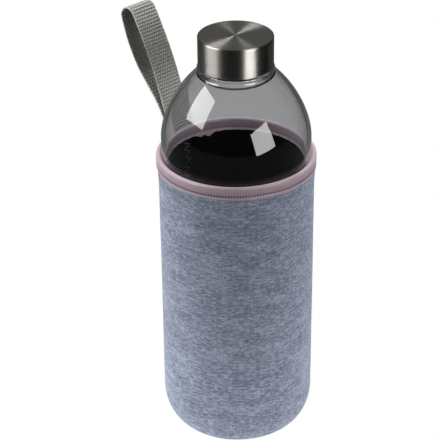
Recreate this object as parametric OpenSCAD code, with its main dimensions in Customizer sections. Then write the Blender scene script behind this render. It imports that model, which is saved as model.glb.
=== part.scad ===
// One-litre glass drinking bottle with a steel screw cap, in a bound neoprene sleeve
// with a webbing carrying loop. Millimetres. +Z is up. The origin is on the bottle's
// axis, on the surface that it stands on. The sleeve's seam and the loop are at +Y.

/* [Glass] */
// Outer radius of the bottle's body
glass_r = 43; // [42:0.5:43]
// Thickness of the side wall
glass_wall = 2.3; // [1.8:0.1:2.8]
// Height at which the shoulder leaves the straight body
shoulder_z = 191.8; // [189:0.2:193]
// Inner radius of the neck
bore_r = 15.3; // [14.9:0.1:15.6]
// Outer radius of the neck between the threads
neck_r = 17.7; // [17.5:0.1:17.8]

/* [Screw thread] */
// Rise of the thread in one turn
thread_pitch = 4.2; // [4:0.1:4.6]
// Turns of thread on the neck
thread_turns = 1.5; // [1:0.25:2]
// Height of the thread's ridge above the neck
thread_depth = 1.1; // [0.9:0.1:1.2]

/* [Cap] */
// Outer radius of the steel shell
cap_r = 21.4; // [21.3:0.1:21.8]
// Height of the top of the cap above the ground
cap_top_z = 252.8; // [252.6:0.1:253.2]
// Height of the steel shell
cap_h = 17.7; // [17:0.1:17.9]
// Thickness of the steel
steel_t = 0.5; // [0.4:0.1:0.6]

/* [Sleeve] */
// Outer radius of the sleeve
sleeve_r = 45; // [45:0.1:45.3]
// Height of the sleeve's rounded heel
heel_h = 23.2; // [22:0.2:24]
// How far the rounded heel comes in from the outer radius
heel_w = 18.3; // [17.5:0.1:19]
// Radius of the round panel under the bottle
base_panel_r = 30; // [29:0.5:31]
// Top of the fabric, under the binding
fabric_top_z = 179.6; // [179:0.1:180]
// Thickness of the grey jersey face
face_t = 0.4; // [0.3:0.05:0.5]
// Thickness of the foam core
core_t = 1.1; // [0.9:0.05:1.1]
// Thickness of the black lining
lining_t = 0.25; // [0.15:0.05:0.25]

/* [Binding] */
// Largest radius of the edge binding
binding_r = 46.2; // [46.2:0.1:46.3]
// Height of the binding
binding_h = 7.8; // [7:0.1:8.5]
// Number of stitches in each row of the binding
binding_stitches = 176; // [120:4:180]

/* [Carrying loop] */
// Width of the webbing
web_w = 18; // [16:1:22]
// Thickness of one layer of webbing
web_t = 1.1; // [0.9:0.1:1.15]
// Lean of the loop away from upright
loop_lean = 22; // [15:1:30]
// Length of the sewn-down ends
tab_h = 22; // [18:1:26]

/* [Hidden] */
$fn = 128;
eps = 0.01;

// Glass: heights and radii that follow from the sizes above.
base_panel_t = 1.9;
glass_z = base_panel_t + 0.2;
glass_base_t = 4;
punt_r = 24;
punt_rise = 3.5;
glass_heel_h = heel_h - glass_z;
glass_heel_w = heel_w - (sleeve_r - glass_r);
heel_power = 2.19;
shoulder_h = 50;
shoulder_power = 1.67;
ring_r = 22;
ring_bottom_z = 232.6;
ring_top_z = cap_top_z - cap_h - 0.2;
ring_edge = 1.1;
roll_r = 2.3;
roll_z = 229.4;
lip_z = 249.5;
lip_round = 1;

// Thread: the ridge is a trapezium, wider at its root.
thread_root_w = 2;
thread_crest_w = 1;
thread_z = 238;
thread_steps = 40;
thread_clearance = 0.35;

// Cap.
insert_r = cap_r - steel_t;
insert_inner_r = neck_r + thread_depth + thread_clearance;
insert_top_t = 1.2;
insert_bottom_z = cap_top_z - cap_h + 0.2;
insert_top_z = cap_top_z - steel_t;
seal_t = 1.4;
seal_gap = 0.1;
plug_r = 14.5;
plug_h = 3;
cap_edge = 0.8;

// Sleeve.
sleeve_t = face_t + core_t + lining_t;
flare = 0.55;
flare_from_z = 162;
flare_to_z = 172.6;
seam_gap = 0.2;

// Binding: a folded tape over the fabric's edge.
binding_top_z = fabric_top_z + 1.5;
binding_bottom_z = binding_top_z - binding_h;
binding_inner_r = sleeve_r - sleeve_t + flare - 0.52;
tape_gap = 0.02;
groove_z = binding_bottom_z + 2.1;
groove_depth = 0.3;
thread_r = 0.2;

// Carrying loop: an axis along X at the top of the sewn ends, on their outer face.
tab_inner_r = binding_r + 0.1;
layer_gap = 0.2;
tab_r = tab_inner_r + 2 * web_t + layer_gap;
tab_rise_z = binding_bottom_z - 3.2;
hinge_y = tab_r + 0.05;
hinge_z = 180;
inner_u = -hinge_y + tab_inner_r + web_t / 2;
outer_u = -0.05 - web_t / 2;
fold_v = 71.1;
fold_left_u = -0.9;
fold_right_u = 9.5;
fold_tilt = 7;

function superellipse(w, h, power, from, to, n) =
    [for (i = [0:n]) let (a = from + (to - from) * i / n)
        [w * pow(cos(a), 2 / power), h * pow(sin(a), 2 / power)]];
function arc(c, r, from, to, n) =
    [for (i = [0:n]) let (a = from + (to - from) * i / n) c + r * [cos(a), sin(a)]];
function reversed(points) = [for (i = [len(points) - 1:-1:0]) points[i]];
function moved(points, by) = [for (p = points) p + by];
function bezier(a, b, c, d, n) =
    [for (i = [0:n]) let (t = i / n, s = 1 - t)
        s * s * s * a + 3 * s * s * t * b + 3 * s * t * t * c + t * t * t * d];

// The shoulder's curve, from the straight body up to radius r_end. The power curve is
// rounder than a cone and flatter than an ellipse.
function shoulder_angle(r, r_end) = acos(pow(r_end / r, shoulder_power / 2));
function shoulder(r, h, r_end, n) =
    moved(superellipse(r, h, shoulder_power, 0, shoulder_angle(r, r_end), n), [0, shoulder_z]);

// The heel's curve, a depth d inside the sleeve's outer surface, from radius r_end outwards.
function heel_end(d, r_end) =
    acos(pow((r_end - sleeve_r + heel_w) / (heel_w - d), heel_power / 2));
function heel(d, r_end, n) =
    [for (p = superellipse(heel_w - d, heel_h - d, heel_power, heel_end(d, r_end), 0, n))
        [sleeve_r - heel_w + p[0], heel_h - p[1]]];
function eased(t) = t * t * (3 - 2 * t);
function flare_at(z) =
    flare * eased(min(1, max(0, (z - flare_from_z) / (flare_to_z - flare_from_z))));
// One surface of the sleeve, a depth d inside its outer surface, from the base panel up.
function sleeve_side(d) =
    concat(heel(d, base_panel_r + seam_gap, 14),
           [for (i = [0:6]) let (z = flare_from_z + (flare_to_z - flare_from_z) * i / 6)
               [sleeve_r - d + flare_at(z), z]],
           [[sleeve_r - d + flare, fabric_top_z]]);

// A right-hand helical ridge on radius r, towards the axis where depth is negative.
module thread_ridge(r, depth, z, turns) {
    n = floor(turns * thread_steps);
    bite = depth > 0 ? -0.3 : 0.3;
    // The ridge grows out of the wall over its first and last steps.
    function fade(i) = min(1, min(i, n - i) / 5);
    points = [for (i = [0:n])
        let (a = 360 * i / thread_steps,
             at = z + thread_pitch * i / thread_steps,
             tip = r + depth * max(0.05, fade(i)),
             root = r + bite)
        for (corner = [[root, -thread_root_w / 2], [tip, -thread_crest_w / 2],
                       [tip, thread_crest_w / 2], [root, thread_root_w / 2]])
            [corner[0] * cos(a), corner[0] * sin(a), at + corner[1]]];
    inside = [for (i = [0:n - 1]) for (k = [0:3])
        let (a = 4 * i + k, b = 4 * i + (k + 1) % 4, c = b + 4, d = a + 4)
        for (triangle = [[a, b, c], [a, c, d]])
            depth > 0 ? triangle : reversed(triangle)];
    first = [[0, 2, 1], [0, 3, 2]];
    last = [[4 * n, 4 * n + 1, 4 * n + 2], [4 * n, 4 * n + 2, 4 * n + 3]];
    ends = [for (triangle = concat(first, last)) depth > 0 ? triangle : reversed(triangle)];
    polyhedron(points, concat(inside, ends), convexity = 6);
}

// Blown glass: the body, the shoulder, the transfer ring and the threaded neck.
module glass_bottle() {
    inner_r = glass_r - glass_wall;
    floor_z = glass_z + glass_base_t;
    outside = concat(
        [for (i = [0:6]) let (r = punt_r * i / 6)
            [r, glass_z + punt_rise * (1 - pow(r / punt_r, 2))]],
        [for (p = superellipse(glass_heel_w, glass_heel_h, heel_power, 90, 0, 14))
            [glass_r - glass_heel_w + p[0], glass_z + glass_heel_h - p[1]]],
        shoulder(glass_r, shoulder_h, ring_r - 0.4, 22),
        [[ring_r - 0.6, ring_bottom_z - 0.4]],
        arc([ring_r - ring_edge, ring_bottom_z + ring_edge], ring_edge, -60, 0, 4),
        arc([ring_r - ring_edge, ring_top_z - ring_edge], ring_edge, 0, 90, 4),
        [[neck_r, ring_top_z]],
        arc([neck_r - lip_round, lip_z - lip_round], lip_round, 0, 90, 4));
    inside = concat(
        arc([bore_r + lip_round, lip_z - lip_round], lip_round, 90, 180, 4),
        arc([bore_r + roll_r, roll_z], roll_r, 180, 300, 8),
        reversed(shoulder(inner_r, shoulder_h - 2.4, bore_r + 2 * roll_r + 1.2, 18)),
        [for (p = superellipse(glass_heel_w - glass_wall, glass_heel_h - glass_base_t,
                               heel_power, 0, 90, 14))
            [glass_r - glass_heel_w + p[0], glass_z + glass_heel_h - p[1]]],
        [for (i = [6:-1:0]) let (r = punt_r * i / 6)
            [r, floor_z + (punt_rise - 1.5) * (1 - pow(r / punt_r, 2))]]);
    color("lightsteelblue", 0.45)
    union() {
        rotate_extrude() polygon(concat(outside, inside));
        thread_ridge(neck_r, thread_depth, thread_z, thread_turns);
    }
}

// Drawn stainless-steel cup.
module cap_shell() {
    color("silver")
    rotate_extrude()
    polygon(concat(
        [[0, insert_top_z], [insert_r, insert_top_z], [insert_r, cap_top_z - cap_h],
         [cap_r, cap_top_z - cap_h]],
        arc([cap_r - cap_edge, cap_top_z - cap_edge], cap_edge, 0, 90, 6),
        [[0, cap_top_z]]));
}

// Moulded insert, pressed into the steel shell: thread, seal seat and centring plug.
module cap_insert() {
    roof_z = insert_top_z - insert_top_t;
    // The inner ridge runs half a pitch above the neck's, so the two mesh with play.
    mesh_z = thread_z + thread_pitch / 2;
    color("whitesmoke")
    union() {
        rotate_extrude()
        polygon([[0, roof_z - 1], [plug_r - 1.6, roof_z - 1], [plug_r - 1.6, roof_z - plug_h],
                 [plug_r - 0.4, roof_z - plug_h], [plug_r, roof_z - plug_h + 0.4],
                 [plug_r, roof_z], [insert_inner_r, roof_z],
                 [insert_inner_r, insert_bottom_z + 0.6], [insert_inner_r + 0.4, insert_bottom_z],
                 [insert_r, insert_bottom_z], [insert_r, insert_top_z], [0, insert_top_z]]);
        thread_ridge(insert_inner_r, -thread_depth, mesh_z, thread_turns);
    }
}

// Silicone ring between the bottle's lip and the insert.
module cap_seal() {
    color("gainsboro")
    translate([0, 0, lip_z + seal_gap])
    difference() {
        cylinder(r = insert_inner_r - 0.2, h = seal_t);
        translate([0, 0, -eps]) cylinder(r = plug_r + 0.3, h = seal_t + 2 * eps);
    }
}

// One layer of the sleeve's wrapped panel, from depth d0 to depth d1, open at the side seam.
module sleeve_layer(d0, d1) {
    difference() {
        rotate_extrude() polygon(concat(sleeve_side(d0), reversed(sleeve_side(d1))));
        translate([-seam_gap / 2, 0, -1]) cube([seam_gap, sleeve_r + 5, fabric_top_z + 2]);
    }
}

module sleeve_face() {
    color("slategray") sleeve_layer(0, face_t);
}

module sleeve_core() {
    color([0.12, 0.12, 0.13]) sleeve_layer(face_t, face_t + core_t);
}

module sleeve_lining() {
    color([0.05, 0.05, 0.06]) sleeve_layer(face_t + core_t, sleeve_t);
}

// Round panel under the bottle: jersey outside, foam inside. Its lower edge is bevelled
// for the seam.
module base_panel_face() {
    bevel = 1.2;
    color("slategray")
    rotate_extrude()
    polygon([[0, 0], [base_panel_r - bevel, 0], [base_panel_r, face_t - 0.05],
             [base_panel_r, face_t], [0, face_t]]);
}

module base_panel_core() {
    color([0.12, 0.12, 0.13])
    translate([0, 0, face_t]) cylinder(r = base_panel_r, h = base_panel_t - face_t);
}

// A straight length of thread between two points.
module stitch(a, b, r) {
    d = b - a;
    translate(a)
    rotate([0, acos(d[2] / norm(d)), atan2(d[1], d[0])])
    cylinder(r = r, h = norm(d), $fn = 16);
}

function on_cylinder(r, x, z) = [r * sin(x / r * 180 / PI), r * cos(x / r * 180 / PI), z];

// Zigzag that joins the panel's two upright edges, seen inside and outside.
module side_seam_thread() {
    half_w = 2.8;
    step = 2.5;
    from_z = heel_h + 4;
    legs = floor((flare_from_z - from_z) / step);
    color([0.2, 0.2, 0.21])
    for (r = [sleeve_r, sleeve_r - sleeve_t + 0.05], i = [0:legs - 1])
        stitch(on_cylinder(r, half_w * (i % 2 ? 1 : -1), from_z + i * step),
               on_cylinder(r, half_w * (i % 2 ? -1 : 1), from_z + (i + 0.94) * step),
               thread_r * 0.8);
}

// Zigzag round the base panel, in the groove that its bevelled edge leaves.
module base_seam_thread() {
    legs = 76;
    half_w = 0.8;
    at_z = 0.35;
    color([0.35, 0.37, 0.42])
    for (i = [0:legs - 1])
        let (a = 360 * i / legs, b = 360 * (i + 0.92) / legs,
             ra = base_panel_r + half_w * (i % 2 ? 1 : -1),
             rb = base_panel_r - half_w * (i % 2 ? 1 : -1))
        stitch([ra * cos(a), ra * sin(a), at_z], [rb * cos(b), rb * sin(b), at_z], thread_r * 0.8);
}

// Folded satin tape over the raw top edge, with a groove where the stitches pull it in.
module top_binding() {
    outer_slot_r = sleeve_r + flare + tape_gap;
    inner_slot_r = sleeve_r - sleeve_t + flare - tape_gap;
    top_round = 1.35;
    color([0.78, 0.68, 0.70])
    rotate_extrude()
    polygon(concat(
        [[outer_slot_r, fabric_top_z + tape_gap], [outer_slot_r, binding_bottom_z]],
        arc([binding_r - 0.45, binding_bottom_z + 0.35], 0.35, -90, 0, 4),
        [[binding_r - 0.1, groove_z - 0.6], [binding_r - groove_depth, groove_z],
         [binding_r - 0.05, groove_z + 0.9], [binding_r, groove_z + 2.2]],
        arc([binding_r - top_round, binding_top_z - top_round], top_round, 0, 90, 8),
        arc([binding_inner_r + top_round, binding_top_z - top_round], top_round, 90, 180, 8),
        [[binding_inner_r, binding_bottom_z + 0.2], [binding_inner_r + 0.2, binding_bottom_z],
         [inner_slot_r, binding_bottom_z], [inner_slot_r, fabric_top_z + tape_gap]]));
}

// Two rows of lockstitch through the binding, one outside and one inside.
module binding_thread() {
    pitch = 360 / binding_stitches;
    length = 0.76 * 2 * PI * binding_inner_r / binding_stitches;
    color([0.62, 0.50, 0.53])
    for (r = [binding_r - groove_depth, binding_inner_r + thread_r + 0.02],
         i = [0:binding_stitches - 1])
        rotate([0, 0, i * pitch])
        translate([r, 0, groove_z])
        rotate([90, 0, 0])
        cylinder(r = thread_r, h = length, center = true, $fn = 16);
}

// The radius that the webbing lies on: the sleeve's, and then the binding's.
function tab_at(z) =
    let (t = eased(min(1, max(0, (z - tab_rise_z) / 3))))
    (sleeve_r + flare_at(z) + thread_r) * (1 - t) + tab_inner_r * t;

// The two ends of the webbing, one on the other, sewn flat to the outside of the sleeve.
module strap_ends() {
    rows = 12;
    heights = [for (i = [0:rows]) hinge_z - tab_h + tab_h * i / rows];
    color([0.62, 0.62, 0.59])
    for (lift = [0, web_t + layer_gap])
        intersection() {
            rotate_extrude()
            polygon(concat(
                [for (z = heights) [tab_at(z) + lift + web_t, z]],
                reversed([for (z = heights) [tab_at(z) + lift, z]])));
            translate([-web_w / 2, 0, hinge_z - tab_h - 1]) cube([web_w, tab_r + 2, tab_h + 2]);
        }
}

// Box stitch with a cross through both ends of the webbing.
module strap_thread() {
    half_w = web_w / 2 - 2.5;
    low_z = hinge_z - tab_h + 3;
    high_z = hinge_z - 3.5;
    corners = [[-half_w, low_z], [half_w, low_z], [half_w, high_z], [-half_w, high_z]];
    lines = [[corners[0], corners[1]], [corners[1], corners[2]], [corners[2], corners[3]],
             [corners[3], corners[0]], [corners[0], corners[2]], [corners[1], corners[3]]];
    color([0.52, 0.52, 0.50])
    for (line = lines)
        let (count = round(norm(line[1] - line[0]) / 2.6))
        for (i = [0:count - 1])
            let (a = line[0] + (line[1] - line[0]) * (i + 0.14) / count,
                 b = line[0] + (line[1] - line[0]) * (i + 0.86) / count)
            stitch(on_cylinder(tab_at(a[1]) + tab_r - tab_inner_r, a[0], a[1]),
                   on_cylinder(tab_at(b[1]) + tab_r - tab_inner_r, b[0], b[1]), thread_r);
}

// The loop's centre line in its own plane: up the inner leg, over the fold, down the outer.
fold_r = (fold_right_u - fold_left_u) / (1 + cos(fold_tilt));
fold_c = [fold_left_u + fold_r, fold_v - fold_r * sin(fold_tilt)];
loop_line = concat(
    bezier([inner_u, 0], [-5.6, 24], [-4.5, 49.5], [fold_left_u, fold_c[1]], 14),
    [for (i = [1:11]) let (a = 180 - (180 - fold_tilt) * i / 12)
        fold_c + fold_r * [cos(a), sin(a)]],
    bezier([fold_right_u, fold_v], [14, 32], [-1.5, 30], [outer_u, 0], 16));
function loop_side(d) =
    let (n = len(loop_line))
    [for (i = [0:n - 1])
        let (along = i == 0 || i == n - 1 ? [0, i == 0 ? 1 : -1]
                                          : loop_line[i + 1] - loop_line[i - 1],
             unit = along / norm(along))
        loop_line[i] + d * [-unit[1], unit[0]]];

// The free part of the webbing: one band, folded over at the top.
module strap_loop() {
    color([0.62, 0.62, 0.59])
    translate([0, hinge_y, hinge_z])
    rotate([-loop_lean, 0, 0])
    rotate([90, 0, 90])
    linear_extrude(height = web_w, center = true)
    polygon(concat(loop_side(web_t / 2), reversed(loop_side(-web_t / 2))));
}

glass_bottle();
cap_shell();
cap_insert();
cap_seal();
sleeve_face();
sleeve_core();
sleeve_lining();
base_panel_face();
base_panel_core();
side_seam_thread();
base_seam_thread();
top_binding();
binding_thread();
strap_ends();
strap_thread();
strap_loop();
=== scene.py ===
# %% [markdown]
# # A glass bottle in a neoprene sleeve
# This lesson rebuilds the looks of a one-litre glass drinking bottle: clear blown glass, a brushed
# steel screw cap, a sleeve of grey jersey on foam with a pink satin binding, and a loop of woven
# webbing. The imported CAD model is loaded first and stays as the frame: it gives every size, and each
# new piece is made where the CAD says; all but the webbing loop ride on a CAD body.

import math

import bpy
import numpy as np
from mathutils import Matrix, Quaternion, Vector


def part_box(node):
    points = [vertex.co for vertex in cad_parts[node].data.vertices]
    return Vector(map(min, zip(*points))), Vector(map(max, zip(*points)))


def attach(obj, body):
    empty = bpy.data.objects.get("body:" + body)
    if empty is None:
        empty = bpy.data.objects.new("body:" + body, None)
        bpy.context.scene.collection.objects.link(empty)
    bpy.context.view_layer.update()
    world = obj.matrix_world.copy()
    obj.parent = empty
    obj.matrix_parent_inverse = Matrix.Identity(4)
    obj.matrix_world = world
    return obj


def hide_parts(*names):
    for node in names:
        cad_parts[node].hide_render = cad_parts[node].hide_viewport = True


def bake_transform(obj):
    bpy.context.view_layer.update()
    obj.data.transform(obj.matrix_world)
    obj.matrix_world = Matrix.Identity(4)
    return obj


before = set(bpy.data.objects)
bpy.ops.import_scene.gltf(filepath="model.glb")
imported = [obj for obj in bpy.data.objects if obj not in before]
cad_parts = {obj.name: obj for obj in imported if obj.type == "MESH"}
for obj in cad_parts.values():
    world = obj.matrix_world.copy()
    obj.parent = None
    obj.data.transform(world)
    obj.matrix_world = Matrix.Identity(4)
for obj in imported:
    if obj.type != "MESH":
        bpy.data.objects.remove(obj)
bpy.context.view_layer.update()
MM = 0.001

# %% [markdown]
# ## The camera
# A long lens a metre away keeps the bottle's sides almost parallel. The camera looks down on it, so
# that the cap's top and the inside of the dark sleeve both show. Its place is worked out from a turn
# round the bottle and a rise above the table, as on a studio stand. The last small roll tips it by
# about half a degree, as a stand that was set by hand does.

# %% Camera
VIEW_TURN = math.radians(-45)  # the side seam and the loop are then behind, on the left
VIEW_RISE = math.radians(29.35)
VIEW_ROLL = math.radians(-0.66)
VIEW_DISTANCE = 1.0
AIM_HEIGHT = 135.4 * MM
AIM_SIDEWAYS = -9.8 * MM  # the loop needs room on the left

to_camera = Vector((math.sin(VIEW_TURN), -math.cos(VIEW_TURN), 0))
to_right = Vector((math.cos(VIEW_TURN), math.sin(VIEW_TURN), 0))
aim = Vector((0, 0, AIM_HEIGHT)) + to_right * AIM_SIDEWAYS
backwards = to_camera * math.cos(VIEW_RISE) + Vector((0, 0, math.sin(VIEW_RISE)))
facing = (-backwards).to_track_quat("-Z", "Y") @ Quaternion((0, 0, 1), VIEW_ROLL)
bpy.ops.object.camera_add(location=aim + backwards * VIEW_DISTANCE, rotation=facing.to_euler())
camera = bpy.context.object
camera.data.sensor_width = 36
camera.data.lens = 139.3
bpy.context.scene.camera = camera
bpy.context.scene.view_settings.view_transform = "Standard"
print("the camera stands at", [round(x, 3) for x in camera.location])

# %% [markdown]
# ## Two softboxes, a back panel and three fills
# Shiny things show their lights, so the lights are shaped like a studio's: two large rectangles. One
# stands far round to the left and high, the other in front on the right and low. They make the two
# bright patches on the glass shoulder and the two bright stripes down the steel cap. A large weak
# panel behind is only for the top of the cap, which reflects what is above and beyond it. Area lights
# are the right kind, because a point or a sun shows no rectangle in a reflection.
#
# The cloth is lit by broader fills: two far round at the sides, which leave its middle darker, and
# one high behind for the rim of the binding and the fold of the loop. Keeping what is reflected apart
# from what lights the cloth lets each be set without spoiling the other.

# %% Lights
LIT_POINT = Vector((0, 0, 210 * MM))


def area_light(name, turn, rise, distance, width, height, watts, lean=0):
    """A rectangular light that faces the shoulder, turned from the camera's side towards the right."""
    turn, rise = math.radians(turn), math.radians(rise)
    level = to_camera * math.cos(turn) + to_right * math.sin(turn)
    outwards = level * math.cos(rise) + Vector((0, 0, math.sin(rise)))
    pose = outwards.to_track_quat("Z", "Y") @ Quaternion((0, 0, 1), math.radians(lean))
    bpy.ops.object.light_add(type="AREA", location=LIT_POINT + outwards * distance, rotation=pose.to_euler())
    light = bpy.context.object
    light.name = name
    light.data.shape = "RECTANGLE"
    light.data.size, light.data.size_y = width, height
    light.data.energy = watts
    return light


for softbox in (
    area_light("softbox_left", turn=-79, rise=32, distance=0.9, width=0.60, height=0.48, watts=9.2, lean=10),
    area_light("softbox_right", turn=41, rise=12, distance=0.9, width=0.50, height=0.44, watts=6.8, lean=10),
    area_light("back_panel", turn=180, rise=50, distance=1.5, width=1.6, height=1.6, watts=1.6),
):
    softbox.visible_diffuse = softbox.visible_transmission = softbox.visible_camera = False
for fill in (
    area_light("fill_left", turn=-104, rise=12, distance=1.2, width=0.8, height=0.8, watts=13),
    area_light("fill_right", turn=100, rise=12, distance=1.2, width=0.8, height=0.8, watts=6),
    area_light("fill_top", turn=180, rise=62, distance=1.2, width=0.8, height=0.8, watts=11),
):
    fill.visible_glossy = fill.visible_transmission = fill.visible_camera = False

# %% [markdown]
# ## Floor and surroundings
# A bottle on a white table in a white room would be filled with white, and its glass and steel would
# lose their edges. So the Light Path node gives the eye a plain white, gives rays through the glass a
# grey and gives reflections a dark room, which is what black flags round a set do. A white card under
# the bottle throws light up at the cloth, most of it near the heel.

# %% Material helpers
def new_material(name):
    """A material with its node tree and its Principled shader."""
    material = bpy.data.materials.new(name)
    material.use_nodes = True
    return material, material.node_tree, material.node_tree.nodes["Principled BSDF"]


def put(tree, kind, **values):
    """Adds a node. Values that name an input set that input, and any other sets the node itself."""
    node = tree.nodes.new(kind)
    for name, value in values.items():
        plain = name.replace("_", " ")
        socket = next((s for s in node.inputs if s.name.lower() == plain.lower()), None)
        if socket is not None and not hasattr(node, name):
            socket.default_value = value
        else:
            setattr(node, name, value)
    return node


def sums(tree, operation, first, second=None, clamp=False):
    """A Math node on sockets or numbers. Returns its output."""
    node = tree.nodes.new("ShaderNodeMath")
    node.operation, node.use_clamp = operation, clamp
    for slot, value in enumerate((first, second)):
        if isinstance(value, bpy.types.NodeSocket):
            tree.links.new(value, node.inputs[slot])
        elif value is not None:
            node.inputs[slot].default_value = value
    return node.outputs[0]


def times(tree, first, second):
    """A Math node that multiplies, the one that is needed most."""
    return sums(tree, "MULTIPLY", first, second)


def plus(tree, first, second):
    """A Math node that adds."""
    return sums(tree, "ADD", first, second)


def spread(tree, value, low, high, to_low=0.0, to_high=1.0):
    """A Map Range node, clamped. Returns its output."""
    node = tree.nodes.new("ShaderNodeMapRange")
    tree.links.new(value, node.inputs["Value"])
    for name, number in (("From Min", low), ("From Max", high), ("To Min", to_low), ("To Max", to_high)):
        node.inputs[name].default_value = number
    return node.outputs["Result"]


def blend_colours(tree, share, first, second, how="MIX"):
    """A colour Mix node on sockets or colours. Returns its output."""
    node = tree.nodes.new("ShaderNodeMix")
    node.data_type, node.blend_type = "RGBA", how
    for slot, value in ((0, share), (6, first), (7, second)):
        if isinstance(value, bpy.types.NodeSocket):
            tree.links.new(value, node.inputs[slot])
        else:
            node.inputs[slot].default_value = value if slot == 0 else (*value, 1)
    return node.outputs[2]


def rgb(red, green, blue):
    """A colour from its 0 to 255 screen values, as the linear numbers that shaders use."""
    shares = (red / 255, green / 255, blue / 255)
    return tuple(c / 12.92 if c < 0.0405 else ((c + 0.055) / 1.055) ** 2.4 for c in shares)


def object_spot(tree):
    """Where on the piece the shader is, in metres, which stays put when the piece moves."""
    return put(tree, "ShaderNodeTexCoord").outputs["Object"]


def settle(shader, **values):
    """Sets the shader's own sockets to constants. An underscore stands for a space in a name."""
    for name, value in values.items():
        shader.inputs[name.replace("_", " ")].default_value = value


def emboss(tree, shader, height, strength, distance):
    """A Bump node: the surface seems raised where the height is large, by a distance in metres."""
    bump = put(tree, "ShaderNodeBump", Strength=strength, Distance=distance)
    tree.links.new(height, bump.inputs["Height"])
    tree.links.new(bump.outputs["Normal"], shader.inputs["Normal"])


# %% Floor and world
def room_colour(tree, seen, through, reflected, in_wall, lit):
    """The surroundings' colour for the eye, for rays through glass, for reflections and for the rest.

    A ray that was reflected inside a glass wall sees the in_wall colour."""
    rays = tree.nodes.new("ShaderNodeLightPath")
    mirrored, matt, crossed = (
        sums(tree, "GREATER_THAN", rays.outputs[f"{kind} Depth"], 0.5)
        for kind in ("Glossy", "Diffuse", "Transmission")
    )
    plain = blend_colours(tree, crossed, lit, through)
    colour = blend_colours(tree, mirrored, plain, blend_colours(tree, crossed, reflected, in_wall))
    colour = blend_colours(tree, matt, colour, lit)
    return blend_colours(tree, rays.outputs["Is Camera Ray"], colour, seen)


world = bpy.data.worlds.new("studio")
world.use_nodes = True
bpy.context.scene.world = world
tree = world.node_tree
direction = put(tree, "ShaderNodeTexCoord")
towards = put(tree, "ShaderNodeVectorMath", operation="DOT_PRODUCT")
tree.links.new(direction.outputs["Generated"], towards.inputs[0])
towards.inputs[1].default_value = to_camera
front = spread(tree, towards.outputs["Value"], 0.1, 0.95)
soft_light = blend_colours(tree, front, rgb(240, 242, 246), rgb(168, 169, 172))
away = spread(tree, towards.outputs["Value"], -0.3, 0.2)
sky = room_colour(
    tree, seen=rgb(255, 255, 255), through=rgb(130, 130, 131), reflected=rgb(24, 24, 24),
    in_wall=blend_colours(tree, away, rgb(124, 126, 127), rgb(40, 40, 40)), lit=soft_light,
)
tree.links.new(sky, tree.nodes["Background"].inputs["Color"])


def stage_surface(name, through, lit, glow, reflected=rgb(6, 6, 6)):
    """A matt surface that looks white to the eye, and dark in a reflection unless told otherwise."""
    material, tree, shader = new_material(name)
    settle(shader, Roughness=1.0, Specular_IOR_Level=0.0, Emission_Strength=1.0)
    body = room_colour(tree, (0, 0, 0), (0, 0, 0), (0, 0, 0), (0, 0, 0), lit)
    tree.links.new(body, shader.inputs["Base Color"])
    shine = room_colour(tree, (1, 1, 1), through, reflected, rgb(96, 98, 99), glow)
    tree.links.new(shine, shader.inputs["Emission Color"])
    return material


def stage_plane(name, low, behind, width, length, material):
    """A rectangle on the ground, its middle a distance behind the bottle as the camera sees it."""
    bpy.ops.mesh.primitive_plane_add(
        size=1, location=Vector((0, 0, low)) - to_camera * behind, rotation=(0, 0, VIEW_TURN)
    )
    plane = bpy.context.object
    plane.name = name
    plane.scale = (width, length, 1)
    bpy.ops.object.transform_apply(location=False, rotation=False, scale=True)
    plane.data.materials.append(material)


dark = stage_surface("dark_floor", rgb(104, 104, 105), rgb(90, 90, 90), (0, 0, 0))
stage_plane("floor", -4 * MM, 0, 6, 6, dark)
grey = stage_surface("grey_sheet", rgb(172, 170, 171), rgb(120, 120, 120), (0, 0, 0), rgb(110, 111, 112))
stage_plane("grey_sheet", -3 * MM, 1.2, 0.9, 2.0, grey)
card = stage_surface("white_card", rgb(80, 80, 80), rgb(228, 228, 228), rgb(232, 232, 232))
stage_plane("white_card", -1 * MM, 0, 0.4, 0.4, card)
print("the stage has a floor, a grey sheet behind and a white card under the bottle")

# %% [markdown]
# ## Shared modelling helpers
# Almost every piece here was made by turning or by wrapping round the bottle, so the main tool is a
# lathe: one vertex is extruded from point to point along an outline, and the outline is spun round
# the axis. Outlines are drawn in millimetres, as (radius, height), and become metres in the mesh.

# %% Outline helpers
def arc(centre, radius, start, end, steps):
    """Points on an arc, from angle start to angle end in degrees."""
    turns = [math.radians(start + (end - start) * i / steps) for i in range(steps + 1)]
    return [(centre[0] + radius * math.cos(a), centre[1] + radius * math.sin(a)) for a in turns]


def power_curve(width, height, power, start, end, steps):
    """Points on a superellipse: power 2 is an ellipse, and a smaller power is flatter."""
    turns = [math.radians(start + (end - start) * i / steps) for i in range(steps + 1)]
    return [
        (width * max(math.cos(a), 0) ** (2 / power), height * max(math.sin(a), 0) ** (2 / power))
        for a in turns
    ]


def rise_along(radius, low, high, steps):
    """Points up a straight wall, close enough together to follow small ripples."""
    return [(radius, low + (high - low) * i / steps) for i in range(steps + 1)]


def eased(share):
    """0 to 1 with a soft start and a soft end."""
    share = np.clip(share, 0, 1)
    return share * share * (3 - 2 * share)


# %% Mesh helpers
def deselect():
    bpy.ops.object.select_all(action="DESELECT")


def only(piece):
    """Selects one piece and makes it active."""
    deselect()
    piece.select_set(True)
    bpy.context.view_layer.objects.active = piece


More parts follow.
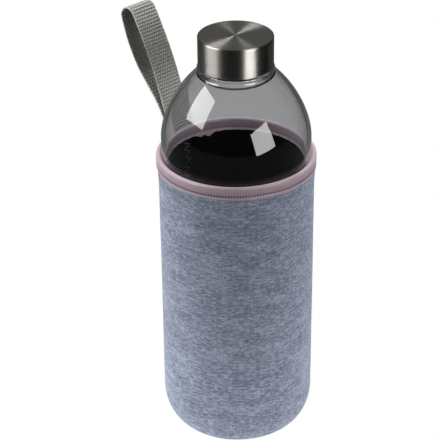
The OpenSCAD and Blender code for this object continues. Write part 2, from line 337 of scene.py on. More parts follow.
def draw(name, outline, turn=0.0):
    """One vertex, extruded along an outline that stands at a turn round Z. Stays in edit mode."""
    spots = [Vector((r * math.cos(turn), r * math.sin(turn), z)) * MM for r, z in outline]
    deselect()
    bpy.ops.mesh.primitive_plane_add(size=MM, location=spots[0])
    piece = bpy.context.object
    piece.name = piece.data.name = name
    bpy.ops.object.mode_set(mode="EDIT")
    bpy.ops.mesh.merge(type="CENTER")
    for here, there in zip(spots, spots[1:]):
        bpy.ops.mesh.extrude_region_move(TRANSFORM_OT_translate={"value": there - here})
    bpy.ops.mesh.select_all(action="SELECT")
    return piece


def tidy(piece, merge=0.002 * MM):
    """Closes the seams, points the faces outwards and puts the piece's place into its mesh."""
    bpy.ops.mesh.select_all(action="SELECT")
    bpy.ops.mesh.remove_doubles(threshold=merge)
    bpy.ops.mesh.normals_make_consistent(inside=False)
    bpy.ops.object.mode_set(mode="OBJECT")
    only(piece)
    bpy.ops.object.transform_apply(location=True, rotation=True, scale=True)


SEAM_TURN = math.pi / 2  # the side seam faces +Y


def lathe(name, outline, steps=160, slit=0.0, smooth=40):
    """Spins a closed outline once round Z. A slit in degrees leaves it open at the side seam."""
    closed = outline if outline[0][0] == 0 else outline + outline[:1]
    piece = draw(name, closed, SEAM_TURN + math.radians(slit / 2))
    bpy.ops.mesh.spin(steps=steps, angle=2 * math.pi - math.radians(slit), center=(0, 0, 0), axis=(0, 0, 1))
    if slit:
        bpy.ops.mesh.select_all(action="SELECT")
        bpy.ops.mesh.remove_doubles(threshold=0.002 * MM)
        bpy.ops.mesh.select_all(action="DESELECT")
        bpy.ops.mesh.select_non_manifold()
        bpy.ops.mesh.fill_holes(sides=0)
    tidy(piece)
    bpy.ops.object.shade_smooth_by_angle(angle=math.radians(smooth))
    return piece


def corners_of(piece):
    """The piece's vertices in millimetres, one row each."""
    flat = np.empty(len(piece.data.vertices) * 3)
    piece.data.vertices.foreach_get("co", flat)
    return flat.reshape(-1, 3) / MM


def move_corners(piece, places):
    """Puts the piece's vertices at these places, in millimetres."""
    piece.data.vertices.foreach_set("co", (places * MM).ravel())
    piece.data.update()


def push_out(piece, amount):
    """Moves each vertex away from the axis by amount(turn, height, radius), in millimetres."""
    places = corners_of(piece)
    radius = np.hypot(places[:, 0], places[:, 1])
    turn = np.arctan2(places[:, 1], places[:, 0])
    grown = (radius + amount(turn, places[:, 2], radius)) / np.maximum(radius, 1e-6)
    places[:, 0] *= grown
    places[:, 1] *= grown
    move_corners(piece, places)


def repeat(pattern, places, name):
    """Copies a pattern piece to each place, each copy with its own mesh, and joins them."""
    copies = []
    for place in places:
        copy = pattern.copy()
        copy.data = pattern.data.copy()
        copy.data.transform(place)
        bpy.context.scene.collection.objects.link(copy)
        copies.append(copy)
    bpy.data.objects.remove(pattern)
    deselect()
    for copy in copies:
        copy.select_set(True)
    bpy.context.view_layer.objects.active = copies[0]
    bpy.ops.object.join()
    joined = bpy.context.object
    joined.name = joined.data.name = name
    return joined


def finish_piece(piece, body, material, slot, *nodes):
    """Gives a piece its material, the body that it rides on and the CAD nodes that it stands for."""
    piece.data.materials.clear()
    piece.data.materials.append(material)
    if body:
        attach(piece, body)
    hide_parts(*nodes)
    print(piece.name, "has", len(piece.data.polygons), "faces")


# %% [markdown]
# ## The glass
# The bottle is blown into a mould: a straight wall, a domed shoulder that is rounder than a cone and
# flatter than an ellipse, and a thick rolled throat. It could be a cylinder with its top pulled in,
# but a drawn outline holds the wall's true thickness everywhere, and glass shows its thickness. So
# the outside and the inside are one closed outline, spun on the lathe.

# %% Glass outline
glass_low, glass_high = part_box("glass_bottle")
GLASS_R = 43.0
GLASS_WALL = 2.3
GLASS_Z = glass_low.z / MM
LIP_Z = glass_high.z / MM
SHOULDER_Z, SHOULDER_H, SHOULDER_POWER = 191.8, 50.0, 1.67
BORE_R, NECK_R = 15.3, 17.7
RING_R, RING_LOW, RING_HIGH = 22.0, 232.6, 234.9
HEEL_POWER = 2.19
HEEL_W, HEEL_H = 16.3, 23.2 - GLASS_Z
PUNT_R, PUNT_RISE = 24.0, 3.5


def shoulder(radius, height, end_radius, steps):
    """The dome's curve, from the straight wall up to end_radius."""
    end = math.degrees(math.acos((end_radius / radius) ** (SHOULDER_POWER / 2)))
    dome = power_curve(radius, height, SHOULDER_POWER, 0, end, steps)
    return [(r, SHOULDER_Z + z) for r, z in dome]


def glass_outline():
    """The outside from the punt up to the lip, then the inside back down to the punt."""
    base_t, lip_round, roll_r, roll_z = 4.0, 1.0, 2.3, 229.4
    inner_r, floor_z = GLASS_R - GLASS_WALL, GLASS_Z + base_t
    punt = [(PUNT_R * i / 8, PUNT_RISE * (1 - (i / 8) ** 2)) for i in range(9)]
    heel_out = power_curve(HEEL_W, HEEL_H, HEEL_POWER, 90, 0, 24)
    heel_in = power_curve(HEEL_W - GLASS_WALL, HEEL_H - base_t, HEEL_POWER, 0, 90, 24)
    centre = (GLASS_R - HEEL_W, GLASS_Z + HEEL_H)
    outside = (
        [(r, GLASS_Z + z) for r, z in punt[:-1]]
        + [(centre[0] + x, centre[1] - y) for x, y in heel_out]
        + shoulder(GLASS_R, SHOULDER_H, RING_R - 0.1, 44)
        + [(RING_R - 0.35, RING_LOW - 0.05), (RING_R - 0.4, RING_LOW + 0.15)]
        + arc((RING_R - 1.1, RING_LOW + 1.1), 1.1, -30, 0, 5)
        + arc((RING_R - 1.1, RING_HIGH - 1.1), 1.1, 0, 90, 7)
        + arc((NECK_R + 0.5, RING_HIGH + 0.5), 0.5, 270, 180, 3)
        + arc((NECK_R - lip_round, LIP_Z - lip_round), lip_round, 0, 90, 5)
    )
    inside = (
        arc((BORE_R + lip_round, LIP_Z - lip_round), lip_round, 90, 180, 5)
        + arc((BORE_R + roll_r, roll_z), roll_r, 180, 300, 12)
        + shoulder(inner_r, SHOULDER_H - 2.4, BORE_R + 2 * roll_r + 1.2, 40)[::-1]
        + [(centre[0] + x, centre[1] - y) for x, y in heel_in]
        + [(r, floor_z + z * (PUNT_RISE - 1.5) / PUNT_RISE) for r, z in punt[-2::-1]]
    )
    return outside + inside


# %% [markdown]
# The neck's thread is a ridge that climbs round it one and a half times. A Screw modifier makes it
# from its small cross-section, the ridge's ends are thinned so that it grows out of the wall, and a
# Boolean joins it to the glass, because two glass skins inside each other would bend light wrongly.

# %% Screw thread
THREAD_PITCH, THREAD_TURNS, THREAD_DEPTH, THREAD_Z = 4.2, 1.5, 1.1, 238.0


def thread_ridge(name, root, tip, start_z):
    """A closed helical ridge from radius root to radius tip, with faded ends."""
    bite = 0.3 if tip > root else -0.3
    foot = root - bite
    section = [(foot, start_z - 1), (tip, start_z - 0.5), (tip, start_z + 0.5), (foot, start_z + 1)]
    ridge = draw(name, section + section[:1])
    tidy(ridge)
    screw = ridge.modifiers.new("Climb", "SCREW")
    screw.angle = THREAD_TURNS * 2 * math.pi
    screw.screw_offset = THREAD_TURNS * THREAD_PITCH * MM
    screw.steps = screw.render_steps = int(THREAD_TURNS * 64)
    bpy.ops.object.modifier_apply(modifier=screw.name)
    bpy.ops.object.mode_set(mode="EDIT")
    bpy.ops.mesh.select_all(action="DESELECT")
    bpy.ops.mesh.select_non_manifold()
    bpy.ops.mesh.fill_holes(sides=0)
    tidy(ridge)
    places = corners_of(ridge)
    radius = np.hypot(places[:, 0], places[:, 1])
    order = np.argsort(places[:, 2])
    climbed = np.empty(len(places))
    climbed[order] = np.linspace(0, THREAD_TURNS, len(places))
    fade = eased(np.minimum(climbed, THREAD_TURNS - climbed) / 0.12)
    on_tip = (np.abs(radius - root) > 0.5) & (np.abs(radius - tip) < 0.1)
    wanted = np.where(on_tip, root + (tip - root) * (0.05 + 0.95 * fade), radius)
    places[:, :2] *= (wanted / radius)[:, None]
    move_corners(ridge, places)
    print(name, "has", len(places) // len(section), "cross-sections")
    return ridge


blown_glass = lathe("blown_glass", glass_outline(), steps=192, smooth=50)
neck_ridge = thread_ridge("neck_ridge", NECK_R, NECK_R + THREAD_DEPTH, THREAD_Z)
only(blown_glass)
weld = blown_glass.modifiers.new("Weld on the thread", "BOOLEAN")
weld.operation, weld.object, weld.solver = "UNION", neck_ridge, "EXACT"
bpy.ops.object.modifier_apply(modifier=weld.name)
bpy.data.objects.remove(neck_ridge)

# %% [markdown]
# Clear glass is a Principled shader with full transmission and almost no roughness. What tells it
# from plastic is small: a faint smoky tint, and surfaces that aren't quite true, which a broad weak
# bump gives. The tint is light because each wall is crossed twice. Clear glass hardly stops a lamp's
# light, so it casts no shadow, and the cloth inside and behind it is lit as it should be.

# %% Glass material
clear_glass, tree, shader = new_material("clear_glass")
settle(shader, Base_Color=(*rgb(246, 247, 247), 1), Roughness=0.0, IOR=1.5, Transmission_Weight=1.0)
waves = put(tree, "ShaderNodeTexNoise", Scale=22.0, Detail=1.0)
tree.links.new(object_spot(tree), waves.inputs["Vector"])
emboss(tree, shader, waves.outputs["Fac"], 0.05, 0.0008)
depth_tint = put(tree, "ShaderNodeVolumeAbsorption", Density=22.0)
depth_tint.inputs["Color"].default_value = (*rgb(196, 220, 224), 1)
tree.links.new(depth_tint.outputs["Volume"], tree.nodes["Material Output"].inputs["Volume"])
finish_piece(blown_glass, "bottle", clear_glass, "glass", "glass_bottle")
blown_glass.visible_shadow = False

# %% [markdown]
# ## The steel cap
# The cap is a drawn steel cup with a small rounded edge and a rolled rim, pressed over a moulded
# insert. The cup is one thin wall, so its outline has an inside too. Its finish is brushed while it
# spins, so the scratches are circles: on the top they make bright wedges that meet in the middle,
# and round the side they draw every light into an upright stripe.

# %% Cap shell
shell_low, shell_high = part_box("cap_shell")
CAP_R, CAP_LOW, CAP_HIGH, STEEL_T = 21.4, shell_low.z / MM, shell_high.z / MM, 0.5


def cap_outline():
    edge, rim = 0.8, 0.22
    inner_r, inner_z = CAP_R - STEEL_T + 0.02, CAP_HIGH - STEEL_T + 0.02
    outside = (
        arc((inner_r + rim, CAP_LOW + rim), rim, 180, 270, 4)
        + arc((CAP_R - rim, CAP_LOW + rim), rim, 270, 360, 4)
        + rise_along(CAP_R, CAP_LOW + 0.8, CAP_HIGH - edge - 0.3, 6)
        + arc((CAP_R - edge, CAP_HIGH - edge), edge, 0, 90, 10)
    )
    rings = [(r, CAP_HIGH) for r in (18, 14, 10, 6, 3, 1)]
    inside = [(0, inner_z), (8, inner_z), (inner_r - 0.3, inner_z), (inner_r, inner_z - 0.3)]
    return [(0, CAP_HIGH)] + (outside + rings)[::-1] + inside[::-1]


steel_cup = lathe("steel_cup", cap_outline(), steps=160, smooth=50)

# %% [markdown]
# A node group makes the brushing, because the top and the side use it in the same way: it turns a
# point into its distance from the axis and its height, and reads fine noise along those two only, so
# every line in it is a circle. The shader itself gets a strong anisotropy along a Tangent node's
# circles, which is what stretches the reflections.

# %% Groups: turned coordinates and brush lines
def new_group(name, inputs, outputs):
    """A shader node group with named sockets, each given as (name, kind) or (name, kind, value)."""
    group = bpy.data.node_groups.new(name, "ShaderNodeTree")
    for direction, sockets in (("INPUT", inputs), ("OUTPUT", outputs)):
        for name_of, kind, *value in sockets:
            socket = group.interface.new_socket(
                name=name_of, in_out=direction, socket_type="NodeSocket" + kind
            )
            if value:
                socket.default_value = value[0]
    return group, group.nodes.new("NodeGroupInput"), group.nodes.new("NodeGroupOutput")


def use_group(tree, group, **values):
    """Places a group in a material and sets its named inputs."""
    node = tree.nodes.new("ShaderNodeGroup")
    node.node_tree = group
    for name, value in values.items():
        socket = node.inputs[name.replace("_", " ")]
        if isinstance(value, bpy.types.NodeSocket):
            tree.links.new(value, socket)
        else:
            socket.default_value = value
    return node


def unrolled(tree, position):
    """A point on a round piece as lengths in millimetres: along its girth, up, and from the axis."""
    parts = tree.nodes.new("ShaderNodeSeparateXYZ")
    tree.links.new(position, parts.inputs[0])
    x, y, z = (times(tree, parts.outputs[i], 1 / MM) for i in range(3))
    radius = sums(tree, "SQRT", plus(tree, times(tree, x, x), times(tree, y, y)))
    turn = sums(tree, "ARCTAN2", x, times(tree, y, -1.0))
    return turn, z, radius


def bundle(tree, x, y, z):
    """Three values as one vector."""
    node = tree.nodes.new("ShaderNodeCombineXYZ")
    for slot, value in enumerate((x, y, z)):
        if isinstance(value, bpy.types.NodeSocket):
            tree.links.new(value, node.inputs[slot])
        else:
            node.inputs[slot].default_value = value
    return node.outputs[0]


brush_lines, taken, given = new_group(
    "Brush lines",
    [("Position", "Vector"), ("Fineness", "Float", 6.0)],
    [("Lines", "Float"), ("Broad", "Float")],
)
turn, height, radius = unrolled(brush_lines, taken.outputs["Position"])
reach = plus(brush_lines, radius, height)
for output, density, detail in (("Lines", 1.0, 2.0), ("Broad", 0.12, 1.0)):
    along = times(brush_lines, reach, times(brush_lines, taken.outputs["Fineness"], density))
    grain = put(brush_lines, "ShaderNodeTexNoise", Scale=1.0, Detail=detail)
    place = bundle(brush_lines, times(brush_lines, turn, 0.8), along, 0.0)
    brush_lines.links.new(place, grain.inputs["Vector"])
    brush_lines.links.new(grain.outputs["Fac"], given.inputs[output])

# %% Steel material
brushed_steel, tree, shader = new_material("brushed_steel")
lines = use_group(tree, brush_lines, Position=object_spot(tree), Fineness=7.0)
colour = blend_colours(tree, lines.outputs["Lines"], rgb(162, 159, 153), rgb(200, 198, 191))
tree.links.new(colour, shader.inputs["Base Color"])
tree.links.new(spread(tree, lines.outputs["Broad"], 0.3, 0.7, 0.34, 0.42), shader.inputs["Roughness"])
settle(shader, Metallic=1.0, Anisotropic=0.95, Anisotropic_Rotation=0.25)
round_axis = put(tree, "ShaderNodeTangent", direction_type="RADIAL", axis="Z")
tree.links.new(round_axis.outputs["Tangent"], shader.inputs["Tangent"])
emboss(tree, shader, lines.outputs["Lines"], 0.25, 0.00002)
finish_piece(steel_cup, "cap", brushed_steel, "steel", "cap_shell")

# %% [markdown]
# The insert and the seal ring are under the cap, and show when it is off. Their CAD shapes are
# right, so they stay, and only get a finish: a moulded plastic with a soft grain, and a silicone
# that is a little duller.

# %% Insert and seal materials
def moulded(name, light, dark, roughness, grain_size):
    """A plastic or rubber with faint clouds in its colour and a fine moulded grain."""
    material, tree, shader = new_material(name)
    spot = object_spot(tree)
    clouds = put(tree, "ShaderNodeTexNoise", Scale=60.0, Detail=3.0)
    grain = put(tree, "ShaderNodeTexNoise", Scale=grain_size, Detail=2.0)
    for texture in (clouds, grain):
        tree.links.new(spot, texture.inputs["Vector"])
    tree.links.new(blend_colours(tree, clouds.outputs["Fac"], dark, light), shader.inputs["Base Color"])
    dullness = spread(tree, clouds.outputs["Fac"], 0.3, 0.7, roughness, roughness + 0.12)
    tree.links.new(dullness, shader.inputs["Roughness"])
    emboss(tree, shader, grain.outputs["Fac"], 0.2, 0.00005)
    return material


for node, material in (
    ("cap_insert", moulded("white_moulding", rgb(236, 236, 233), rgb(222, 222, 218), 0.35, 2500.0)),
    ("cap_seal", moulded("silicone", rgb(232, 232, 230), rgb(214, 214, 211), 0.5, 1500.0)),
):
    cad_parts[node].data.materials.clear()
    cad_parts[node].data.materials.append(material)
    print(node, "is finished in", material.name)

# %% [markdown]
# ## The sleeve
# Neoprene sleeves are cut flat from a laminate: jersey outside, foam in the middle, a black knit
# inside. The panel is wrapped round, joined edge to edge up the back, and sewn to a round base. Each
# layer is spun here as its own thin shell, open by a hair at the side seam. Cloth on foam is never
# true, so all three layers get the same slow ripples, pulled in at the seam and under the binding.

# %% Sleeve layers
SLEEVE_R, FACE_T, CORE_T, LINING_T = 45.0, 0.4, 1.1, 0.25
SLEEVE_HEEL_W, SLEEVE_HEEL_H = 18.3, 23.2
BASE_R, SEAM_GAP = 30.0, 0.2
FABRIC_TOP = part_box("sleeve_face")[1].z / MM
FLARE, FLARE_LOW, FLARE_HIGH = 0.55, 162.0, 172.6
BINDING_LOW, BINDING_TOP = (corner.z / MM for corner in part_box("top_binding"))
BINDING_R = 46.2
STITCHES = 176
GROOVE_Z = BINDING_LOW + 2.1


def sleeve_surface(depth):
    """One skin's outline, from the base seam up, a depth inside the sleeve's outer surface."""
    inner = BASE_R + SEAM_GAP - SLEEVE_R + SLEEVE_HEEL_W
    width, height = SLEEVE_HEEL_W - depth, SLEEVE_HEEL_H - depth
    start = math.degrees(math.acos((inner / width) ** (HEEL_POWER / 2)))
    heel = power_curve(width, height, HEEL_POWER, start, 0, 20)
    rows = 44
    wall = []
    for i in range(1, rows + 1):
        z = SLEEVE_HEEL_H + (FABRIC_TOP - SLEEVE_HEEL_H) * i / rows
        wall.append((SLEEVE_R - depth + FLARE * float(eased((z - FLARE_LOW) / (FLARE_HIGH - FLARE_LOW))), z))
    return [(SLEEVE_R - SLEEVE_HEEL_W + x, SLEEVE_HEEL_H - y) for x, y in heel] + wall


def ripples(turn, height, radius):
    """The slow unevenness of foam and cloth, in millimetres, the same at every radius."""
    waves = ((3, 0.021, 0.4, 0.05), (5, -0.034, 2.1, 0.04), (8, 0.052, 4.0, 0.03), (13, -0.09, 1.2, 0.02))
    total = sum(size * np.cos(n * turn + k * height + start) for n, k, start, size in waves)
    upper = eased((height - 10) / 20) * (1 - eased((height - 166) / 8))
    puckers = np.cos(STITCHES / 8 * turn + 0.6 * np.sin(3 * turn))
    tuck = 0.1 * puckers * np.exp(-(((height - BINDING_LOW) / 5) ** 2))
    seam_side = np.cos(turn - SEAM_TURN)
    seam = -0.1 * np.exp(-((1 - seam_side) / 0.0006))
    return (total - 0.02) * upper + tuck * eased((height - 150) / 10) * (height < BINDING_LOW) + seam * upper


def sleeve_layer(name, outer_depth, inner_depth):
    """One layer of the wrapped panel, as a closed thin shell with a slit up the back."""
    outline = sleeve_surface(outer_depth) + sleeve_surface(inner_depth)[::-1]
    layer = lathe(name, outline, steps=200, slit=math.degrees(SEAM_GAP / SLEEVE_R), smooth=50)
    push_out(layer, ripples)
    return layer


jersey_panel = sleeve_layer("jersey_panel", 0, FACE_T)
foam_panel = sleeve_layer("foam_panel", FACE_T, FACE_T + CORE_T)
lining_panel = sleeve_layer("lining_panel", FACE_T + CORE_T, FACE_T + CORE_T + LINING_T)

# %% [markdown]
# The base is the same laminate without its lining: a jersey disc and a foam disc. The seam pulls
# the jersey's edge up all round, so the disc has a soft rounded bevel.

# %% Base panel
base_face_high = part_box("base_panel_face")[1].z / MM
base_core_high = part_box("base_panel_core")[1].z / MM
BASE_STITCHES = 76


def disc(name, low, high, bevel):
    """A round panel whose lower edge is rounded up by the seam."""
    rings = [(BASE_R * i / 12, low) for i in range(12)]
    edge = [(BASE_R - bevel * (1 - s), low + (high - low) * 0.8 * s * s) for s in (0, 0.25, 0.5, 0.75, 1)]
    top = [(BASE_R * i / 12, high) for i in range(12, -1, -1)]
    return lathe(name, rings[:-1] + [(BASE_R - bevel - 0.6, low)] + edge + top, steps=152, smooth=50)


base_jersey = disc("base_jersey", 0.0, base_face_high, 1.2)
base_foam = disc("base_foam", base_face_high, base_core_high, 0.2)

# %% [markdown]
# ## Jersey, lining and foam
# Melange jersey is knitted from yarn spun of light and dark fibres. Near by it shows columns of
# small V loops, and from further off only short level dashes, lighter and darker. One group makes
# the loops as a height: two legs to a column, slanting strands up it, and a deeper gap between two
# columns than between two legs. Another makes the dashes as a mask, with slow clouds beside it. Both
# read unrolled lengths, so that the cloth has the same scale all round and the columns stand upright.

# %% Groups: knit loops and melange
def humps(tree, value, count, power):
    """0 between humps and 1 on them, a count of humps for each 1 of the value."""
    wave = sums(tree, "SINE", times(tree, value, count * math.pi))
    return sums(tree, "POWER", sums(tree, "ABSOLUTE", wave), power)


knit_loops, taken, given = new_group(
    "Knit loops",
    [("Across", "Float"), ("Up", "Float"), ("Wale Width", "Float", 0.9), ("Course Height", "Float", 0.7)],
    [("Height", "Float"), ("Gaps", "Float")],
)
wales = sums(knit_loops, "DIVIDE", taken.outputs["Across"], taken.outputs["Wale Width"])
courses = sums(knit_loops, "DIVIDE", taken.outputs["Up"], taken.outputs["Course Height"])
in_wale = sums(knit_loops, "ABSOLUTE", sums(knit_loops, "SUBTRACT", sums(knit_loops, "FRACT", wales), 0.5))
slant = plus(knit_loops, courses, times(knit_loops, in_wale, 1.4))
legs = humps(knit_loops, wales, 2, 0.5)
columns = humps(knit_loops, wales, 1, 1.5)
strands = humps(knit_loops, slant, 1, 0.6)
loops = times(knit_loops, times(knit_loops, legs, strands), columns)
knit_loops.links.new(loops, given.inputs["Height"])
knit_loops.links.new(sums(knit_loops, "SUBTRACT", 1.0, loops, clamp=True), given.inputs["Gaps"])

melange, taken, given = new_group(
    "Melange",
    [("Across", "Float"), ("Up", "Float"), ("Dash Length", "Float", 3.0), ("Dash Height", "Float", 0.6)],
    [("Light", "Float"), ("Clouds", "Float")],
)
for output, scale, detail, seed in (("Light", 1.0, 4.0, 0.0), ("Clouds", 0.16, 2.0, 40.0)):
    across, up = (
        sums(melange, "DIVIDE", times(melange, taken.outputs[way], scale), taken.outputs[size])
        for way, size in (("Across", "Dash Length"), ("Up", "Dash Height"))
    )
    fibres = put(melange, "ShaderNodeTexNoise", Scale=1.0, Detail=detail, Roughness=0.78)
    melange.links.new(bundle(melange, across, up, seed), fibres.inputs["Vector"])
    melange.links.new(fibres.outputs["Fac"], given.inputs[output])


# %% Cloth materials
def cloth(name, dark, middle, light, wale, course, depth, fuzz, gloss=0.2, flat=False):
    """A knitted cloth. A flat one, under the bottle, reads plain lengths instead of unrolled ones."""
    material, tree, shader = new_material(name)
    if flat:
        parts = put(tree, "ShaderNodeSeparateXYZ")
        tree.links.new(object_spot(tree), parts.inputs[0])
        across, up = (times(tree, parts.outputs[i], 1 / MM) for i in (0, 1))
    else:
        turn, up, _ = unrolled(tree, object_spot(tree))
        across = times(tree, turn, SLEEVE_R)
    loops = use_group(tree, knit_loops, Across=across, Up=up, Wale_Width=wale, Course_Height=course)
    yarn = use_group(tree, melange, Across=across, Up=up, Dash_Length=3.2, Dash_Height=1.1)
    shade = plus(tree, yarn.outputs["Light"], times(tree, yarn.outputs["Clouds"], 0.35))
    low = spread(tree, shade, 0.54, 0.68)
    high = spread(tree, shade, 0.66, 0.8)
    colour = blend_colours(tree, high, blend_colours(tree, low, dark, middle), light)
    # painted shade in the gaps between the knit loops
    gap_shade = times(tree, loops.outputs["Gaps"], 0.65)
    colour = blend_colours(tree, gap_shade, colour, dark)
    tree.links.new(colour, shader.inputs["Base Color"])
    settle(shader, Roughness=0.92, Specular_IOR_Level=gloss)
    settle(shader, Sheen_Weight=fuzz, Sheen_Roughness=0.45, Sheen_Tint=(*light, 1))
    hairs = plus(tree, loops.outputs["Height"], times(tree, yarn.outputs["Light"], 0.8))
    emboss(tree, shader, hairs, 0.6, depth * MM)
    return material


JERSEY = {
    "dark": rgb(93, 99, 114), "middle": rgb(134, 141, 158), "light": rgb(184, 192, 208),
    "wale": 1.3, "course": 0.65, "depth": 0.12, "fuzz": 0.35,
}
BLACK_KNIT = {
    "dark": rgb(2, 2, 3), "middle": rgb(4, 4, 6), "light": rgb(9, 9, 12),
    "wale": 0.7, "course": 0.5, "depth": 0.06, "fuzz": 0.0, "gloss": 0.03,
}
grey_jersey = cloth("grey_jersey", **JERSEY)
grey_jersey_flat = cloth("grey_jersey_flat", **JERSEY, flat=True)
black_lining = cloth("black_lining", **BLACK_KNIT)

foam, tree, shader = new_material("foam")
cells = put(tree, "ShaderNodeTexVoronoi", Scale=2600.0)
tree.links.new(object_spot(tree), cells.inputs["Vector"])
colour = blend_colours(tree, cells.outputs["Distance"], rgb(18, 18, 19), rgb(44, 44, 46))
tree.links.new(colour, shader.inputs["Base Color"])
settle(shader, Roughness=0.85)
emboss(tree, shader, cells.outputs["Distance"], 0.5, 0.0001)

finish_piece(jersey_panel, "sleeve", grey_jersey, "jersey", "sleeve_face")
finish_piece(foam_panel, "sleeve", foam, "foam", "sleeve_core")
finish_piece(lining_panel, "sleeve", black_lining, "lining", "sleeve_lining")
finish_piece(base_jersey, "sleeve", grey_jersey_flat, "jersey", "base_panel_face")
finish_piece(base_foam, "sleeve", foam, "foam", "base_panel_core")

# %% [markdown]
# ## The binding
# A satin tape is folded over the raw top edge and sewn down in one line through all the layers. It
# stands as a soft round roll above a groove where the stitches pull it in, with a thin lip below.
# It is spun like the sleeve, with enough steps for every stitch to have its own dimple. At the back,
# near the seam, the tape's end is tucked under and makes a thicker, uneven place.

# %% Binding
INNER_FABRIC_R = SLEEVE_R - FACE_T - CORE_T - LINING_T + FLARE
BINDING_INNER_R = INNER_FABRIC_R - 0.52
OVERLAP_TURN = math.radians(70)


def binding_outline():
    """The folded tape's outline: up the outside, over the roll and down the inside."""
    slot_out, slot_in, roll = SLEEVE_R + FLARE + 0.02, INNER_FABRIC_R - 0.02, 1.35
    outside = (
        arc((BINDING_R - 0.45, BINDING_LOW + 0.35), 0.35, -90, 0, 5)
        + [(BINDING_R - 0.03, BINDING_LOW + 0.9), (BINDING_R - 0.14, GROOVE_Z - 0.6)]
        + [(BINDING_R - 0.42, GROOVE_Z - 0.2), (BINDING_R - 0.42, GROOVE_Z + 0.2)]
        + [(BINDING_R - 0.14, GROOVE_Z + 0.7), (BINDING_R - 0.04, GROOVE_Z + 1.2)]
        + [(BINDING_R, GROOVE_Z + 2.2)]
        + rise_along(BINDING_R, GROOVE_Z + 2.9, BINDING_TOP - roll - 0.4, 2)
        + arc((BINDING_R - roll, BINDING_TOP - roll), roll, 0, 90, 10)
    )
    inside = (
        arc((BINDING_INNER_R + roll, BINDING_TOP - roll), roll, 90, 180, 10)
        + rise_along(BINDING_INNER_R, BINDING_TOP - roll - 0.5, GROOVE_Z + 1.0, 4)
        + [(BINDING_INNER_R + 0.32, GROOVE_Z + 0.2), (BINDING_INNER_R + 0.34, GROOVE_Z - 0.2)]
        + [(BINDING_INNER_R + 0.12, BINDING_LOW + 0.7), (BINDING_INNER_R, BINDING_LOW + 0.25)]
        + [(BINDING_INNER_R + 0.2, BINDING_LOW)]
    )
    slot_top = FABRIC_TOP + 0.02
    slot = [(slot_in, BINDING_LOW), (slot_in, slot_top), (slot_out, slot_top), (slot_out, BINDING_LOW)]
    return outside + inside + slot


def binding_relief(turn, height, radius):
    """Dimples at the stitches and slow waves in the roll."""
    mid = (BINDING_R + BINDING_INNER_R) / 2
    outer = radius > mid
    stitch = np.cos(STITCHES * turn) * np.exp(-(((height - GROOVE_Z) / 0.6) ** 2)) * 0.08
    wave = 0.05 * np.cos(7 * turn + 1) + 0.04 * np.cos(11 * turn + 0.25 * height)
    wave = wave + 0.03 * np.cos(23 * turn + 2)
    skin = np.abs(radius - mid) > 0.75
    return np.where(skin, np.where(outer, stitch + wave - 0.06, -0.5 * stitch), 0)


satin_binding = lathe("satin_binding", binding_outline(), steps=4 * STITCHES, smooth=60)
push_out(satin_binding, binding_relief)
places = corners_of(satin_binding)
turn = np.arctan2(places[:, 1], places[:, 0])
tucked = np.exp(-(((turn - OVERLAP_TURN) / 0.13) ** 2))
frill = 0.12 * np.cos(37 * turn) + 0.12 * np.cos(61 * turn + 2) + 0.08 * np.cos(STITCHES * turn)
inner = np.hypot(places[:, 0], places[:, 1]) < INNER_FABRIC_R - 0.05
low = 1 - eased((places[:, 2] - BINDING_LOW) / 3)
places[:, 2] -= np.where(inner, low * (tucked * (2.0 + 0.9 * np.cos(38 * turn)) + frill), low * 0.25 * frill)
rise = np.cos(4 * turn + 0.7) * eased((places[:, 2] - GROOVE_Z) / 3)
places[:, 2] += 0.12 * rise - 0.12 * (places[:, 2] > GROOVE_Z)
move_corners(satin_binding, places)

# %% [markdown]
# Satin is woven so that long threads float on its face. They run round the tape here, so the gloss
# is smooth along it and the weave shows as very fine upright steps. A sheen and a fairly low
# roughness give the soft bright line along the roll. The needle leaves a hole between two stitches,
# painted dark as shade, and painted shade darkens the tape in its groove, under its roll and on its
# side that faces the glass.

# %% Satin material
satin, tree, shader = new_material("satin")
turn_of, up, radius_of = unrolled(tree, object_spot(tree))
girth = times(tree, turn_of, SLEEVE_R)
twill = plus(tree, girth, up)
loops = use_group(tree, knit_loops, Across=twill, Up=up, Wale_Width=0.35, Course_Height=0.5)
yarn = use_group(tree, melange, Across=girth, Up=up, Dash_Length=5.0, Dash_Height=0.5)
light_threads = spread(tree, yarn.outputs["Light"], 0.35, 0.7)
colour = blend_colours(tree, light_threads, rgb(160, 140, 148), rgb(182, 162, 170))
from_groove = sums(tree, "ABSOLUTE", sums(tree, "SUBTRACT", up, GROOVE_Z))
# painted shade: the tape is darker in its stitch groove
groove_shade = spread(tree, from_groove, 0.1, 0.8, 1.0, 0.0)
colour = blend_colours(tree, times(tree, groove_shade, 0.2), colour, rgb(110, 92, 100))
# painted shade: the lower part of the roll, above the groove, is darker
above_groove = spread(tree, up, GROOVE_Z, GROOVE_Z + 0.3)
under_roll_shade = spread(tree, up, GROOVE_Z + 0.6, GROOVE_Z + 4.4, 0.4, 0.0)
colour = blend_colours(tree, times(tree, above_groove, under_roll_shade), colour, rgb(112, 94, 102))
# painted shade in the needle holes between two stitches
between = sums(tree, "COSINE", times(tree, turn_of, float(STITCHES)))
in_groove = spread(tree, from_groove, 0.42, 0.7, 1.0, 0.0)
hole = times(tree, spread(tree, between, -0.2, 0.4), in_groove)
colour = blend_colours(tree, hole, colour, rgb(58, 44, 50))
